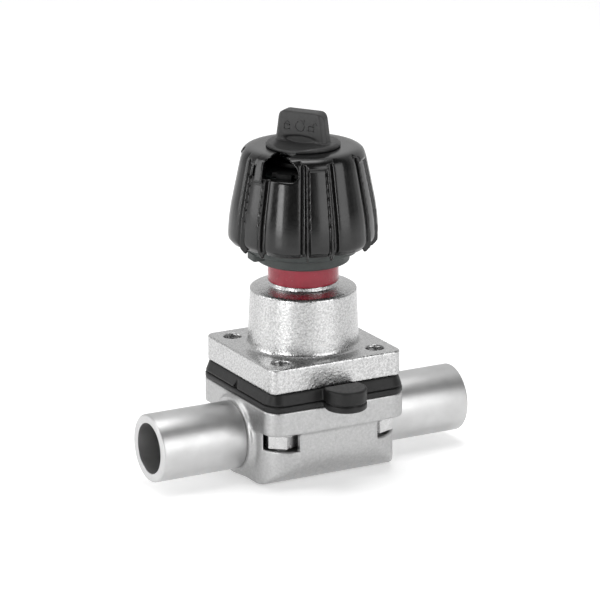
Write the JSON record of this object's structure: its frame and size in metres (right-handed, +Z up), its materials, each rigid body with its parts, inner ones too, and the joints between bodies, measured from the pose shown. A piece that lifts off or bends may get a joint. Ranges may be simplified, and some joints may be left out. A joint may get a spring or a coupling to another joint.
{
  "type": "diaphragm valve",
  "caption": "Manual weir-type diaphragm valve with butt-weld pipe ends, a clamped rubber diaphragm, a red position ring and a lockable black handwheel.",
  "frame": {"origin": "middle of the flat base under the body, on the spindle axis", "axes": "+X along the pipe towards the outlet, +Z up the spindle axis, -Y towards the diaphragm's ear"},
  "size_m": [0.108, 0.0577, 0.1135],
  "materials": {
    "cast_steel": "fine blasted stainless casting, satin",
    "bonnet_steel": "coarse blasted stainless casting with a grainy sparkle",
    "turned_steel": "smooth turned stainless steel, satin",
    "fastener_steel": "bright machined stainless steel",
    "dark_steel": "blackened steel",
    "bronze": "machined bronze",
    "black_rubber": "matt black EPDM",
    "black_plastic": "glossy black moulded plastic with a fine grain",
    "key_plastic": "satin dark grey moulded plastic",
    "grey_plastic": "matt dark grey moulded plastic",
    "red_plastic": "satin red moulded plastic"
  },
  "bodies": {
    "valve_body": {"body": "cast_steel", "inlet_spigot": "turned_steel", "outlet_spigot": "turned_steel", "diaphragm": "black_rubber", "bonnet": "bonnet_steel", "bonnet_studs": "fastener_steel", "stud_nuts": "fastener_steel", "nut_washers": "fastener_steel", "spindle_bush": "bronze", "bush_retaining_ring": "fastener_steel", "bush_oring": "black_rubber", "neck_sleeve": "grey_plastic", "sleeve_oring": "black_rubber", "position_indicator": "red_plastic", "lock_ring": "fastener_steel"},
    "compressor_unit": {"compressor": "turned_steel", "guide_pins": "fastener_steel", "thrust_washer": "bronze", "diaphragm_stud": "fastener_steel", "diaphragm_web": "black_rubber"},
    "handwheel_unit": {"spindle": "turned_steel", "spindle_clip": "fastener_steel", "handwheel": "black_plastic", "handwheel_hub": "grey_plastic", "handwheel_collar": "grey_plastic", "hub_screws": "fastener_steel", "spindle_screw": "fastener_steel", "spindle_washer": "fastener_steel"},
    "key_unit": {"lock_key": "key_plastic", "key_oring": "black_rubber", "key_cam": "dark_steel", "key_screw": "fastener_steel"},
    "bolt_unit": {"lock_bolt": "dark_steel", "bolt_pin": "dark_steel"}
  },
  "joints": [
    {"name": "compressor_slide", "type": "slide", "parent": "valve_body", "child": "compressor_unit", "axis": [0, 0, 1], "range_m": [-0.0055, 0], "deforming": ["diaphragm_web"]},
    {"name": "handwheel_turn", "type": "hinge", "parent": "compressor_unit", "child": "handwheel_unit", "pos_m": [0, 0, 0.08], "axis": [0, 0, 1], "range_deg": [-990, 0]},
    {"name": "key_turn", "type": "hinge", "parent": "handwheel_unit", "child": "key_unit", "pos_m": [0, 0, 0.1], "axis": [0, 0, 1], "range_deg": [-90, 0]},
    {"name": "bolt_slide", "type": "slide", "parent": "handwheel_unit", "child": "bolt_unit", "axis": [-0.766, -0.6428, 0], "range_m": [-0.0014, 0]}
  ],
  "couplings": [
    {"joint": "compressor_slide", "follows": "handwheel_turn", "m_per_rad": 0.00031831},
    {"joint": "bolt_slide", "follows": "key_turn", "m_per_rad": 0.00089127}
  ]
}
